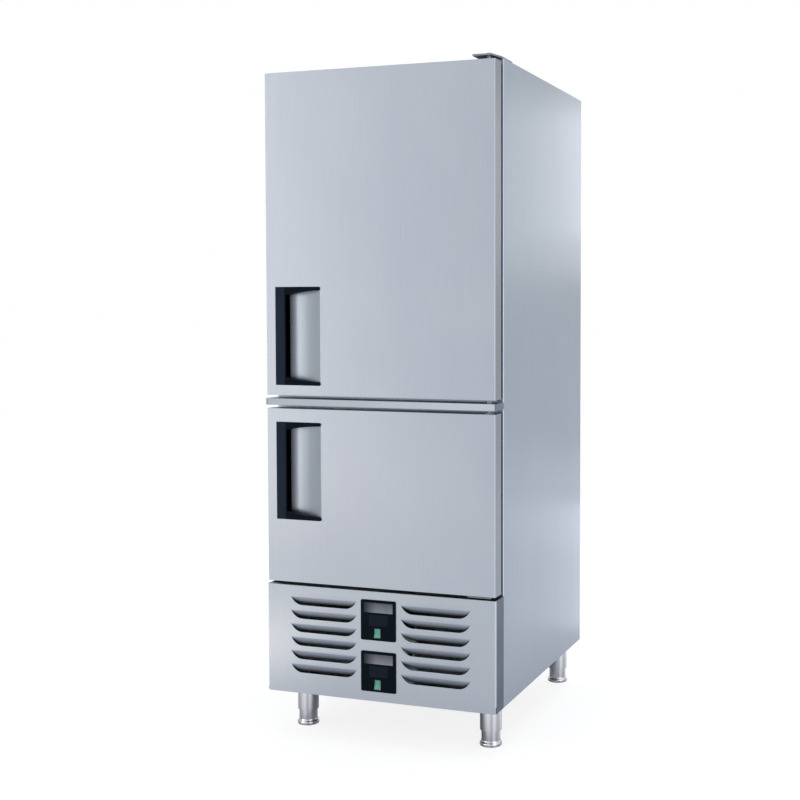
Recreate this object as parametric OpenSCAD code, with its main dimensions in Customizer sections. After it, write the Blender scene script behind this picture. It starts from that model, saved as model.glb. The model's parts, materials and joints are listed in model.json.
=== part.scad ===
// Upright refrigerator with two doors, one above the other, for a professional kitchen.
// Sizes are in millimetres. X runs to the right, Y to the back and Z up.
// The floor is Z = 0, and X = Y = 0 is the middle of the cabinet's plan.

/* [Cabinet] */
// Width of the cabinet
width = 750; // [700:10:850]
// Depth from the handles to the back
depth = 900; // [860:10:980]
// Height of the body above its legs
body_h = 1910; // [1860:10:2150]
// Height of the legs
leg_h = 140; // [125:5:175]
// Thickness of the insulated walls
wall = 57; // [52:1:70]
// Gauge of the steel sheets
sheet = 1; // [0.8:0.1:1.5]

/* [Doors] */
// Thickness of a door
door_t = 52; // [48:1:62]
// Space between a shut door and the body, filled by the gasket
seal_gap = 18; // [15:1:22]
// Height of the lower door
lower_door_h = 534; // [500:1:640]
// Height of the rail between the doors
rail_h = 20; // [18:1:30]
// Height of the louvred front panel
panel_h = 334; // [320:1:380]
// Space above and below each door
door_gap = 10.5; // [9:0.5:14]
// How much narrower than the cabinet a door is, on each side
door_inset = 2; // [1:0.5:4]

/* [Handles] */
// Width of a handle recess
handle_w = 152; // [130:1:180]
// Height of a handle recess
handle_h = 300; // [260:5:340]
// Depth of a handle recess
handle_depth = 33; // [26:1:36]
// Width of the black grip that bridges the recess
grip_w = 32; // [28:1:40]
// Distance from the door's free edge to the handle
handle_edge = 33; // [25:1:50]

/* [Hinges] */
// Distance from the door's edge to the hinge pin
pivot_in = 28; // [24:1:32]
// Distance from the door's face to the hinge pin
pivot_back = 26; // [22:1:28]
// Radius of the hinge pins
pin_r = 6; // [5:0.5:8]
// Clearance round a running pin
pin_play = 0.06; // [0.03:0.01:0.1]

/* [Front panel] */
// Number of louvres in a column
louvre_count = 6; // [4:1:6]
// Distance from one louvre to the next
louvre_pitch = 42; // [38:1:44]
// Width of a louvre
louvre_w = 221; // [180:1:225]
// Height of a louvre's opening
louvre_h = 27; // [22:1:30]
// How far a louvre's blade leans in from the sheet, in degrees
louvre_lean = 28; // [16:1:32]
// Width of a control bezel
bezel_w = 115; // [105:1:125]
// Height of a control bezel
bezel_h = 123; // [118:1:126]

/* [Legs] */
// Radius of a leg's outer sleeve
sleeve_r = 33; // [28:1:38]
// Distance of a leg from the cabinet's side
leg_in = 65; // [55:1:80]
// Travel of a levelling foot
foot_travel = 40; // [20:5:45]

/* [Shelves] */
// Number of shelves in the upper compartment
upper_shelves = 3; // [3:1:3]
// Depth of a shelf
shelf_depth = 560; // [500:10:600]
// Diameter of a shelf's frame rod
rod_d = 8; // [6:1:10]
// Diameter of a shelf's wires
wire_d = 4; // [3:0.5:5]

/* [Hidden] */
$fn = 48;

// Colours
steel = [0.80, 0.81, 0.84];
steel_dark = [0.62, 0.64, 0.68];
black = [0.09, 0.10, 0.12];
grey_plastic = [0.36, 0.37, 0.39];
foam_white = [0.93, 0.90, 0.80];
rubber_grey = [0.30, 0.31, 0.33];
green = [0.36, 0.60, 0.54];
copper = [0.72, 0.45, 0.30];
alu = [0.75, 0.77, 0.79];

// Main planes
seam = 0.3;
trim_proud = 2;
half_w = width / 2;
front_y = -depth / 2 + trim_proud;
back_y = depth / 2;
grille_y = back_y - 20;
body_y = front_y + door_t + seal_gap;
base_z = leg_h;
top_z = leg_h + body_h;
top_margin = 11.5;

// Heights of the front, from the bottom up
panel_top = base_z + panel_h;
low_z0 = panel_top + door_gap;
low_z1 = low_z0 + lower_door_h;
rail_z0 = low_z1 + door_gap;
rail_z1 = rail_z0 + rail_h;
up_z0 = rail_z1 + door_gap;
up_z1 = top_z - top_margin;
door_half = half_w - door_inset;

// Compartments
gasket_w = 18;
gasket_lip = 7;
gasket_edge = 20;
room_half = half_w - wall;
room_y1 = back_y - wall;
room_edge = gasket_edge + gasket_w + gasket_lip;
up_room_z0 = up_z0 + room_edge;
up_room_z1 = up_z1 - room_edge;
low_room_z0 = low_z0 + room_edge;
low_room_z1 = low_z1 - room_edge;
deck_z = panel_top + 6;
frame_t = 1.5;
frame_drop = 36;
skin_flange = 20;
body_edge_r = 4;
back_inset = 3;
body_back_y = back_y - back_inset - sheet - seam;

// Hinge line
pivot_x = door_half - pivot_in;
pivot_y = front_y + pivot_back;
pin_reach = 22;
hinge_t = 3;
bush_r = pin_r + 5;
bush_flange_r = pin_r + 7;
bush_flange_t = 2.5;

// Feet
leg_x = half_w - leg_in;
leg_front_y = front_y + 137;
leg_rear_y = back_y - 59;
foot_play = 0.5;
sleeve_wall = 3.7;
sleeve_h = leg_h - 49;

// Basic shapes

// A box between two corners
module box(x, y, z) {
    translate([x[0], y[0], z[0]]) cube([x[1] - x[0], y[1] - y[0], z[1] - z[0]]);
}

// A flat outline drawn in X and Z, given a thickness along Y
module from_front(y0, y1) {
    translate([0, y1, 0]) rotate([90, 0, 0]) linear_extrude(y1 - y0) children();
}

// A flat outline drawn in Y and Z, given a thickness along X
module from_side(x0, x1) {
    translate([x0, 0, 0]) rotate([90, 0, 90]) linear_extrude(x1 - x0) children();
}

// A shaft along Y
module shaft(r, y0, y1) {
    translate([0, y0, 0]) rotate([-90, 0, 0]) cylinder(r = r, h = y1 - y0);
}

// One copy on the right and a mirrored one on the left
module both_sides() {
    children();
    mirror([1, 0, 0]) children();
}

// A rectangle about its centre, with round corners
module round_rect(w, h, r) {
    square([w - 2 * r, h], center = true);
    square([w, h - 2 * r], center = true);
    for (x = [-1, 1], z = [-1, 1]) translate([x * (w / 2 - r), z * (h / 2 - r)]) circle(r);
}

// Plan of a folded front with two round corners, shrunk by inset but open to the back
module folded_plan(half, y0, y1, r, inset) {
    x = half - inset;
    y = y0 + inset;
    e = r - inset;
    translate([-x, y + e]) square([2 * x, y1 - y - e]);
    translate([-x + e, y]) square([2 * (x - e), e + 0.5]);
    for (s = [-1, 1]) translate([s * (x - e), y + e]) circle(e);
}

// Half the outline of a can with round edges, for turning
module can_outline(r, h, edge) {
    square([r - edge, h]);
    translate([0, edge]) square([r, h - 2 * edge]);
    for (z = [edge, h - edge]) translate([r - edge, z]) circle(edge);
}

// A pipe through a list of points, with a fitting at each bend
module pipe_run(points, r) {
    for (i = [0:len(points) - 2]) {
        run = points[i + 1] - points[i];
        translate(points[i])
            rotate([0, acos(run[2] / norm(run)), atan2(run[1], run[0])]) cylinder(r = r, h = norm(run));
    }
    for (i = [1:len(points) - 2]) translate(points[i]) sphere(r = r * 1.25);
}

// Cabinet

// Everything within a given distance of the outside of the side sheets
module body_inside(inset) {
    translate([0, 0, base_z]) linear_extrude(body_h)
        folded_plan(half_w, body_y, back_y, body_edge_r, inset);
}

// Side sheets of the body, each folded round the front edge
module side_skins() {
    color(steel) intersection() {
        difference() {
            body_inside(0);
            translate([0, 0, base_z - 1]) linear_extrude(body_h + 2)
                folded_plan(half_w, body_y, back_y + 1, body_edge_r, sheet);
        }
        both_sides() box([half_w - skin_flange, half_w], [body_y, back_y], [base_z, top_z]);
    }
}

// Top sheet, folded down at the front
module top_skin() {
    edge = half_w - sheet - seam;
    flange = half_w - skin_flange - seam;
    color(steel) {
        intersection() {
            box([-edge, edge], [body_y + sheet + seam, back_y], [top_z - sheet, top_z]);
            body_inside(sheet + seam);
        }
        box([-flange, flange], [body_y, body_y + skin_flange], [top_z - sheet, top_z]);
        box([-flange, flange], [body_y, body_y + sheet], [top_z - skin_flange, top_z]);
    }
}

// Back sheet of the insulated part, set in a little between the side sheets
module back_panel() {
    edge = half_w - sheet - seam;
    y = [back_y - back_inset - sheet, back_y - back_inset];
    color(steel_dark) box([-edge, edge], y, [deck_z, top_z - sheet - seam]);
}

// Flat steel face round the two compartments, which the gaskets close on
module front_frame() {
    outer = half_w - skin_flange - seam;
    inner = room_half - seam;
    y = [body_y, body_y + frame_t];
    color(steel) {
        both_sides() box([room_half, outer], y, [base_z, top_z - skin_flange - seam]);
        box([-inner, inner], y, [up_room_z1, top_z - skin_flange - seam]);
        box([-inner, inner], y, [low_room_z1, up_room_z0]);
        box([-inner, inner], y, [panel_top - frame_drop, low_room_z0]);
    }
}

// Foam boards of the walls, with a thin seam between neighbours
module insulation() {
    y0 = body_y + frame_t + seam;
    y1 = body_back_y;
    z0 = deck_z + frame_t;
    z1 = top_z - sheet - seam;
    inner = room_half - seam;
    color(foam_white) {
        intersection() {
            both_sides() box([room_half + seam, half_w - sheet - seam], [y0, y1], [z0, z1]);
            body_inside(sheet + seam);
        }
        box([-inner, inner], [room_y1 + seam, y1], [z0, z1]);
        box([-inner, inner], [y0, room_y1 - seam], [up_room_z1 + seam, z1]);
        box([-inner, inner], [y0, room_y1 - seam], [low_room_z1 + seam, up_room_z0 - seam]);
        box([-inner, inner], [y0, room_y1 - seam], [z0, low_room_z0 - seam]);
    }
}

// Steel lining of one compartment, open at the front
module liner(z0, z1) {
    difference() {
        box([-room_half, room_half], [body_y + frame_t, room_y1], [z0, z1]);
        box([-room_half + sheet, room_half - sheet], [body_y, room_y1 - sheet], [z0 + sheet, z1 - sheet]);
    }
}

module upper_liner() {
    color(steel) liner(up_room_z0, up_room_z1);
}

module lower_liner() {
    color(steel) liner(low_room_z0, low_room_z1);
}

// Plate between the machine compartment and the insulated floor
module deck_plate() {
    edge = half_w - sheet - seam;
    color(steel_dark) intersection() {
        box([-edge, edge], [body_y + frame_t, body_back_y], [deck_z, deck_z + frame_t]);
        body_inside(sheet + seam);
    }
}

// Floor tray of the machine compartment, with a plate over each leg
pan_t = 1.5;
pan_edge = 30;
leg_plate = 32;
leg_plate_t = 4;
stem_r = 8;
module base_frame() {
    edge = half_w - sheet - seam;
    y0 = body_y + frame_t;
    y1 = grille_y - seam;
    color(steel_dark) difference() {
        union() {
            difference() {
                intersection() {
                    box([-edge, edge], [y0, y1], [base_z, base_z + pan_edge]);
                    body_inside(sheet + seam);
                }
                box([-edge + pan_t, edge - pan_t], [y0 + pan_t, y1 - pan_t],
                    [base_z + pan_t, base_z + pan_edge + 1]);
            }
            at_legs()
                box([-leg_plate, leg_plate], [-leg_plate, leg_plate],
                    [base_z, base_z + pan_t + leg_plate_t]);
        }
        at_legs() translate([0, 0, base_z - 1])
            cylinder(r = stem_r + foot_play, h = pan_t + leg_plate_t + 2);
        box([-tray_half - tray_slack, tray_half + tray_slack], [y1 - 2 * pan_t, y1 + 1],
            [base_z + pan_t, base_z + pan_edge + 1]);
    }
}

// Copies at the four leg positions
module at_legs() {
    for (x = [-leg_x, leg_x], y = [leg_front_y, leg_rear_y]) translate([x, y, 0]) children();
}

// Round sleeves that the feet screw into
module leg_sleeves() {
    cap_t = 6;
    color(steel) at_legs() difference() {
        translate([0, 0, leg_h - sleeve_h]) cylinder(r = sleeve_r, h = sleeve_h);
        translate([0, 0, leg_h - sleeve_h - 1])
            cylinder(r = sleeve_r - sleeve_wall, h = sleeve_h + 1 - cap_t);
        cylinder(r = stem_r + foot_play, h = leg_h + 1);
    }
}

// Levelling foot: a round base, a plug inside the sleeve and a long stem
module foot(x, y) {
    plug_r = sleeve_r - sleeve_wall - foot_play;
    base_r = sleeve_r + 1;
    plug_top = leg_h - 40;
    stem_top = leg_h + 5 + foot_travel;
    color(steel) translate([x, y, 0]) rotate_extrude() polygon([
        [0, 0], [base_r - 4, 0], [base_r - 1, 1.5], [base_r, 4], [base_r, 8], [base_r - 1, 10.5],
        [plug_r + 1, 15], [plug_r, 18], [plug_r, plug_top],
        [stem_r, plug_top], [stem_r, stem_top], [0, stem_top]
    ]);
}

module foot_front_left() {
    foot(-leg_x, leg_front_y);
}

module foot_front_right() {
    foot(leg_x, leg_front_y);
}

module foot_rear_left() {
    foot(-leg_x, leg_rear_y);
}

module foot_rear_right() {
    foot(leg_x, leg_rear_y);
}

// Channel between the doors, open at the back
cheek_t = 3.5;
module mid_rail() {
    edge = half_w - cheek_t;
    rail_t = 1.5;
    color(steel) difference() {
        box([-edge, edge], [front_y, body_y], [rail_z0, rail_z1]);
        box([-edge - 1, edge + 1], [front_y + rail_t, body_y + 1], [rail_z0 + rail_t, rail_z1 - rail_t]);
        translate([pivot_x, pivot_y, rail_z0 - 1]) cylinder(r = pin_r + 1, h = rail_h + 2);
    }
}

// Plastic cheeks that close the ends of the rail and the sides of the front panel
panel_t = 1.2;
panel_pin_y = front_y + 12;
panel_pin_z = base_z + 8;
panel_pin_r = 3;
panel_edge_r = 4;
panel_return = 2 * panel_edge_r + 0.5;
module side_cheeks() {
    swing_r = panel_pin_y - front_y - panel_t - seam;
    cheek_y = front_y + panel_return + seam;
    color(grey_plastic) both_sides() {
        box([half_w - cheek_t, half_w], [front_y, body_y], [rail_z0, rail_z1]);
        from_side(half_w - cheek_t, half_w) intersection() {
            union() {
                translate([cheek_y, panel_pin_z]) square([body_y - cheek_y, panel_h]);
                translate([panel_pin_y, base_z]) square([body_y - panel_pin_y, panel_h]);
                translate([panel_pin_y, panel_pin_z]) circle(swing_r);
            }
            translate([front_y, base_z]) square([body_y - front_y, panel_h]);
        }
        translate([half_w - cheek_t - 5, panel_pin_y, panel_pin_z]) rotate([0, 90, 0])
            cylinder(r = panel_pin_r, h = 6);
    }
}

// Hinge plates on the right, with their pins: one on top, one in the rail, one above the panel
module hinge_plates() {
    plate_x = [pivot_x - 38, half_w - cheek_t - 0.5];
    top_t = 5;
    color(steel_dark) {
        translate([0, 0, top_z]) linear_extrude(top_t) polygon([
            [plate_x[0] - 6, front_y + 7], [pivot_x + 13, front_y + 7], [half_w - 3, body_y - 6],
            [half_w - 3, body_y + 85], [plate_x[0] - 6, body_y + 85]
        ]);
        translate([pivot_x, pivot_y, up_z1 - pin_reach])
            cylinder(r = pin_r, h = top_z - up_z1 + pin_reach + 1);
        translate([pivot_x, pivot_y, top_z + top_t]) cylinder(r = pin_r + 3, h = 3);

        mid_z = (rail_z0 + rail_z1) / 2;
        box(plate_x, [front_y + 3, body_y], [mid_z - hinge_t / 2, mid_z + hinge_t / 2]);
        box(plate_x, [body_y - 3, body_y], [rail_z0 + 2, rail_z1 - 2]);
        translate([pivot_x, pivot_y, low_z1 - pin_reach])
            cylinder(r = pin_r, h = up_z0 - low_z1 + 2 * pin_reach);
        translate([pivot_x, pivot_y, rail_z1 + seam])
            cylinder(r = pin_r + 3, h = door_gap - bush_flange_t - 2 * seam);

        low_plate = [low_z0 - bush_flange_t - seam - hinge_t, low_z0 - bush_flange_t - seam];
        low_x = [pivot_x - 62, pivot_x + 13];
        box(low_x, [front_y + 6, body_y], low_plate);
        box(low_x, [body_y - 3, body_y], [low_plate[0] - frame_drop + 10, low_plate[1]]);
        translate([pivot_x, pivot_y, low_plate[0]])
            cylinder(r = pin_r, h = low_z0 + pin_reach - low_plate[0]);
    }
}

// Doors

// Plan of the handle recess: a long arc from the door's face down to a flat floor.
// u runs from the handle's outer edge towards the door's middle, v into the door.
recess_floor_u = 40;
recess_end_u = 3;
handle_x = -door_half + handle_edge;
handle_end_t = 10;
recess_arc_r = (pow(handle_w - recess_floor_u, 2) + pow(handle_depth, 2)) / (2 * handle_depth);
module recess_plan(grow) {
    intersection() {
        union() {
            translate([recess_floor_u, handle_depth - recess_arc_r]) circle(recess_arc_r + grow, $fn = 96);
            translate([recess_end_u - grow, 0])
                square([recess_floor_u - recess_end_u + grow, handle_depth + grow]);
        }
        translate([recess_end_u - grow, 0]) square([handle_w + 10, handle_depth + grow]);
    }
}

// The recess as a solid, between two heights
module recess_solid(z0, z1, grow) {
    translate([handle_x, front_y, z0]) linear_extrude(z1 - z0) recess_plan(grow);
}

// Folded steel front of a door, open at the back
door_edge_r = 5;
module door_skin(z0, z1, handle_z) {
    difference() {
        union() {
            translate([0, 0, z0]) linear_extrude(z1 - z0) difference() {
                door_plan(0);
                door_plan(sheet);
            }
            for (z = [z0, z1 - sheet]) translate([0, 0, z]) linear_extrude(sheet) door_plan(0);
        }
        recess_solid(handle_z + handle_end_t, handle_z + handle_h - handle_end_t, sheet);
        translate([pivot_x, pivot_y, z0 - 1]) cylinder(r = bush_r, h = z1 - z0 + 2);
    }
}

// Plan of a door, shrunk by inset but open to the back
module door_plan(inset) {
    folded_plan(door_half, front_y, front_y + door_t, door_edge_r, inset);
}

// Foam filling of a door, in blocks that leave the handle's pocket open
module door_core(z0, z1, handle_z) {
    y0 = front_y + sheet + seam;
    y1 = front_y + door_t - sheet - seam;
    x0 = -door_half + sheet + seam;
    x1 = door_half - sheet - seam;
    b0 = z0 + sheet + seam;
    b1 = z1 - sheet - seam;
    pocket_x = [handle_x - 1, handle_x + handle_w + 4];
    pocket_z = [handle_z - seam, handle_z + handle_h + seam];
    mid_x = handle_x + 96;
    color(foam_white) intersection() {
        translate([0, 0, b0]) linear_extrude(b1 - b0) door_plan(sheet + seam);
        union() {
            difference() {
                box([pocket_x[1] + seam, x1], [y0, y1], [b0, b1]);
                for (z = [z0, z1 - pin_reach - 3])
                    translate([pivot_x, pivot_y, z - 1]) cylinder(r = bush_r + seam, h = pin_reach + 5);
            }
            box([x0, pocket_x[0] - seam], [y0, y1], [b0, b1]);
            box([pocket_x[0], pocket_x[1]], [y0, y1], [b0, pocket_z[0] - seam]);
            box([pocket_x[0], pocket_x[1]], [y0, y1], [pocket_z[1] + seam, b1]);
            for (x = [[pocket_x[0], mid_x - seam], [mid_x, pocket_x[1]]]) difference() {
                box(x, [y0, y1], pocket_z);
                recess_solid(pocket_z[0] - 1, pocket_z[1] + 1, sheet + seam);
                box([pocket_x[0] - 1, handle_x + grip_w], [y0 - 1, front_y + 14],
                    [pocket_z[0] - 1, pocket_z[1] + 1]);
            }
        }
    }
}

// Inner sheet of a door with its raised field
module door_liner(z0, z1) {
    y1 = front_y + door_t;
    edge = door_half - sheet - seam;
    field_x = room_half - 14;
    field_z = [z0 + room_edge + 14, z1 - room_edge - 14];
    rise = 8;
    color(steel) difference() {
        union() {
            box([-edge, edge], [y1 - sheet, y1], [z0 + sheet + seam, z1 - sheet - seam]);
            translate([0, 0, (field_z[0] + field_z[1]) / 2]) from_front(y1 - sheet, y1 + rise)
                round_rect(2 * field_x, field_z[1] - field_z[0], 18);
        }
        translate([0, 0, (field_z[0] + field_z[1]) / 2]) from_front(y1 - sheet - 1, y1 + rise - sheet)
            round_rect(2 * (field_x - sheet), field_z[1] - field_z[0] - 2 * sheet, 17);
    }
}

// Cross-section of the gasket. u runs inwards from its outer edge, v from the door to the body.
module gasket_section() {
    waist = seal_gap / 3;
    polygon([
        [3, 0], [gasket_w - 3, 0], [gasket_w - 3, 3], [gasket_w - 7, waist], [gasket_w - 2, waist + 4],
        [gasket_w - 1, waist + 6], [gasket_w - 1, seal_gap], [1, seal_gap], [1, waist + 6], [2, waist + 4],
        [7, waist], [3, 3]
    ]);
}

// One length of gasket along X, mitred at both ends, with its outer edge on Z = 0
module gasket_bar(half_len) {
    big = gasket_w + 2;
    intersection() {
        translate([-half_len, 0, 0]) rotate([90, 0, 90]) linear_extrude(2 * half_len)
            rotate(90) mirror([0, 1]) gasket_section();
        from_front(-1, seal_gap + 1) polygon([
            [-half_len + seam, 0], [half_len - seam, 0],
            [half_len - big - seam, big], [-half_len + big + seam, big]
        ]);
    }
}

// Magnetic gasket on a door: four mitred lengths
module gasket(z0, z1) {
    x = room_half + gasket_lip + gasket_w;
    g0 = z0 + gasket_edge;
    g1 = z1 - gasket_edge;
    color(rubber_grey) translate([0, front_y + door_t, (g0 + g1) / 2])
        for (turn = [0, 180]) rotate([0, turn, 0]) {
            translate([0, 0, -(g1 - g0) / 2]) gasket_bar(x);
            translate([-x, 0, 0]) rotate([0, 90, 0]) gasket_bar((g1 - g0) / 2);
        }
}

// Steel scoop of a handle recess
module handle_cup(handle_z) {
    color(steel) difference() {
        recess_solid(handle_z + handle_end_t, handle_z + handle_h - handle_end_t, sheet);
        recess_solid(handle_z, handle_z + handle_h, 0);
    }
}

// Black grip moulding: the bar, the pocket's wall and floor behind it, and the two end pieces,
// whose walls swell in a long arc towards the bar
module handle_grip(handle_z) {
    grip_t = 12;
    lip_r = 3;
    lining_t = 2;
    lining_u = grip_w;
    band_h = handle_end_t + 0.5;
    end_min = 1;
    end_swell = 15;
    end_arc_r = 500;
    inner_h = handle_h - 2 * handle_end_t;
    floor_v = handle_depth + trim_proud;
    color(black) translate([handle_x, front_y - trim_proud, handle_z]) {
        linear_extrude(handle_h) square([grip_w - lip_r, trim_proud]);
        translate([0, 0, handle_end_t]) linear_extrude(inner_h) {
            translate([recess_end_u, 0]) square([grip_w - lip_r - recess_end_u, grip_t]);
            translate([grip_w - lip_r, lip_r]) circle(lip_r);
            translate([recess_end_u, 0]) square([lining_t, floor_v]);
            translate([recess_end_u, floor_v - lining_t]) square([lining_u - recess_end_u, lining_t]);
        }
        for (z = [0, handle_h - band_h]) translate([0, 0, z]) {
            linear_extrude(band_h) square([handle_w - band_h / 2, trim_proud]);
            translate([handle_w - band_h / 2, 0, band_h / 2]) rotate([-90, 0, 0])
                cylinder(r = band_h / 2, h = trim_proud);
        }
    }
    color(black) translate([0, 0, handle_z + handle_h / 2]) for (end = [0, 1]) mirror([0, 0, end])
        translate([0, 0, -inner_h / 2]) intersection() {
            recess_solid(0, end_swell, -seam);
            translate([handle_x, 0, 0]) from_front(front_y, front_y + handle_depth) difference() {
                square([handle_w, end_swell]);
                translate([handle_w, end_arc_r + end_min]) circle(end_arc_r, $fn = 360);
            }
        }
}

// Bushes that a door turns in, one at each end of its hinge line
module bushes(z0, z1) {
    color(grey_plastic) translate([pivot_x, pivot_y, 0]) {
        difference() {
            union() {
                translate([0, 0, z0 - bush_flange_t]) cylinder(r = bush_flange_r, h = bush_flange_t);
                translate([0, 0, z0]) cylinder(r = bush_r, h = pin_reach + 2);
            }
            translate([0, 0, z0 - bush_flange_t - 1])
                cylinder(r = pin_r + pin_play, h = pin_reach + bush_flange_t + 2);
        }
        difference() {
            union() {
                translate([0, 0, z1 - pin_reach - 2]) cylinder(r = bush_r, h = pin_reach + 2);
                translate([0, 0, z1]) cylinder(r = bush_flange_r, h = bush_flange_t);
            }
            translate([0, 0, z1 - pin_reach - 1])
                cylinder(r = pin_r + pin_play, h = pin_reach + bush_flange_t + 2);
        }
    }
}

upper_handle_z = up_z0 + 31;
lower_handle_z = low_z1 - 41 - handle_h;

module upper_door_skin() {
    color(steel) door_skin(up_z0, up_z1, upper_handle_z);
}

module upper_door_core() {
    door_core(up_z0, up_z1, upper_handle_z);
}

module upper_door_liner() {
    door_liner(up_z0, up_z1);
}

module upper_gasket() {
    gasket(up_z0, up_z1);
}

module upper_handle_cup() {
    handle_cup(upper_handle_z);
}

module upper_handle_grip() {
    handle_grip(upper_handle_z);
}

module upper_bushes() {
    bushes(up_z0, up_z1);
}

module lower_door_skin() {
    color(steel) door_skin(low_z0, low_z1, lower_handle_z);
}

module lower_door_core() {
    door_core(low_z0, low_z1, lower_handle_z);
}

module lower_door_liner() {
    door_liner(low_z0, low_z1);
}

module lower_gasket() {
    gasket(low_z0, low_z1);
}

module lower_handle_cup() {
    handle_cup(lower_handle_z);
}

module lower_handle_grip() {
    handle_grip(lower_handle_z);
}

module lower_bushes() {
    bushes(low_z0, low_z1);
}

// Front panel

// Outline of a louvre below its bend line: straight along the bottom, with an arc up to each tip
module louvre_outline(half, run, h) {
    r = (pow(run, 2) + pow(h, 2)) / (2 * h);
    intersection() {
        union() {
            for (s = [-1, 1]) translate([s * (half - run), r - h]) circle(r, $fn = 96);
            translate([-half + run, -h]) square([2 * (half - run), h]);
        }
        translate([-half, -h]) square([2 * half, h]);
    }
}

louvre_x = 184;
louvre_top = 33;
louvre_run = 38;
louvre_z = [for (i = [0:louvre_count - 1]) panel_top - louvre_top - i * louvre_pitch];
bezel_z = [base_z + 91, base_z + 247.5];
bezel_body = [101, 111];

// Copies at the two control bezels
module at_bezels() {
    for (z = bezel_z) translate([0, front_y, z]) children();
}

// Blade of a louvre, still joined to the sheet along its bend line and leaning inwards below it
module louvre_blade(x, z) {
    bend_r = 8;
    tip_gap = 0.6;
    joint_h = 0.3;
    step = 0.05;
    blade_h = louvre_h * cos(louvre_lean);
    far = 2 * bend_r;
    intersection() {
        translate([x, 0, z]) from_front(front_y - 1, front_y + louvre_h) {
            louvre_outline(louvre_w / 2 - tip_gap, louvre_run + 2, blade_h);
            translate([-louvre_w / 2 + tip_gap, -0.1]) square([louvre_w - 2 * tip_gap, joint_h + 0.1]);
        }
        translate([0, front_y + bend_r, z]) {
            intersection() {
                from_side(x - louvre_w / 2, x + louvre_w / 2) difference() {
                    circle(bend_r, $fn = 96);
                    circle(bend_r - panel_t, $fn = 96);
                }
                from_side(x - louvre_w, x + louvre_w)
                    polygon([[0, joint_h], [-far, joint_h], [-far, -far * tan(louvre_lean)], [0, 0]]);
            }
            from_side(x - louvre_w / 2, x + louvre_w / 2) rotate(louvre_lean)
                translate([-bend_r + step, -louvre_h]) square([panel_t - 2 * step, louvre_h + joint_h]);
        }
    }
}

// Louvred sheet with folded edges. Each louvre is cut free along its arc and pressed inwards.
module front_panel() {
    fold = 18;
    inner = half_w - cheek_t - 1;
    color(steel) {
        difference() {
            translate([0, 0, base_z]) linear_extrude(panel_h) difference() {
                folded_plan(half_w, front_y, front_y + panel_return, panel_edge_r, 0);
                folded_plan(half_w, front_y, front_y + panel_return + 1, panel_edge_r, panel_t);
            }
            from_front(front_y - 1, front_y + panel_t + 1) {
                for (x = [-louvre_x, louvre_x], z = louvre_z) translate([x, z])
                    louvre_outline(louvre_w / 2, louvre_run, louvre_h);
                for (z = bezel_z) translate([0, z]) square(bezel_body, center = true);
            }
            box([-half_w - 1, half_w + 1], [front_y + panel_t, front_y + fold],
                [base_z - 1, panel_pin_z + panel_pin_y - front_y]);
        }
        for (x = [-louvre_x, louvre_x], z = louvre_z) louvre_blade(x, z);
        difference() {
            box([-inner, inner], [front_y, front_y + fold], [base_z, panel_top]);
            box([-inner + panel_t, inner - panel_t], [front_y - 1, front_y + fold + 1],
                [base_z + panel_t, panel_top - panel_t]);
            translate([-half_w, panel_pin_y, panel_pin_z]) rotate([0, 90, 0])
                cylinder(r = panel_pin_r + pin_play, h = width);
        }
    }
}

window_size = [62, 34];
label_size = [95, 30];
label_z = 38;
inlay_t = 1;
rocker_size = [21, 28];
rocker_at = [-4, -40];
rocker_pivot = 7;
rocker_lean = 8;

// Bezel and housing of each controller, with pockets for what it carries
module control_bezels() {
    housing_depth = 50;
    color(black) at_bezels() difference() {
        union() {
            from_front(-trim_proud, 0) round_rect(bezel_w, bezel_h, 5);
            from_front(-seam, housing_depth) square(bezel_body - [1, 1], center = true);
        }
        from_front(-trim_proud - 1, inlay_t - trim_proud) {
            square(window_size, center = true);
            translate([0, label_z]) square(label_size, center = true);
        }
        from_front(-trim_proud - 1, 14) translate(rocker_at) square(rocker_size + [1.2, 2], center = true);
        translate([rocker_at[0] - 15, rocker_pivot - trim_proud, rocker_at[1]]) rotate([0, 90, 0])
            cylinder(r = 1.5 + pin_play, h = 30);
    }
}

// Dark window over each display
module display_windows() {
    color([0.12, 0.14, 0.17]) at_bezels() from_front(-trim_proud, inlay_t - trim_proud - 0.02)
        square(window_size - [0.4, 0.4], center = true);
}

// Plain grey strip above each display
module label_strips() {
    color(grey_plastic) at_bezels() from_front(-trim_proud, inlay_t - trim_proud - 0.02)
        translate([0, label_z]) square(label_size - [0.4, 0.4], center = true);
}

// Green rocker switch, at rest with its top pressed in
module rocker(z) {
    half_h = rocker_size[1] / 2;
    color(green) translate([rocker_at[0], front_y - trim_proud + rocker_pivot, z + rocker_at[1]])
        rotate([-rocker_lean, 0, 0]) {
            from_side(-rocker_size[0] / 2, rocker_size[0] / 2) polygon([
                [-4.8, -half_h], [-2.8, 0], [-4.8, half_h], [0, half_h], [4, 5], [4, -5], [0, -half_h]
            ]);
            rotate([0, 90, 0]) translate([0, 0, -12.5]) cylinder(r = 1.5, h = 25);
        }
}

module rocker_upper() {
    rocker(bezel_z[1]);
}

module rocker_lower() {
    rocker(bezel_z[0]);
}

// Shelves

upright_y = [body_y + 138, body_y + 568];
upright_w = 30;
upright_t = 12;
runner_drop = 18;
runner_seat = 22;
runner_t = 1.5;
shelf_pitch = 215;
shelf_front_y = body_y + 73;
upright_x = room_half - sheet;
runner_x = upright_x - upright_t;
shelf_half = runner_x - 5;
up_shelf_z = [for (i = [0:upper_shelves - 1]) up_room_z0 + 150 + i * shelf_pitch];
low_shelf_z = low_room_z0 + 150;

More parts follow.
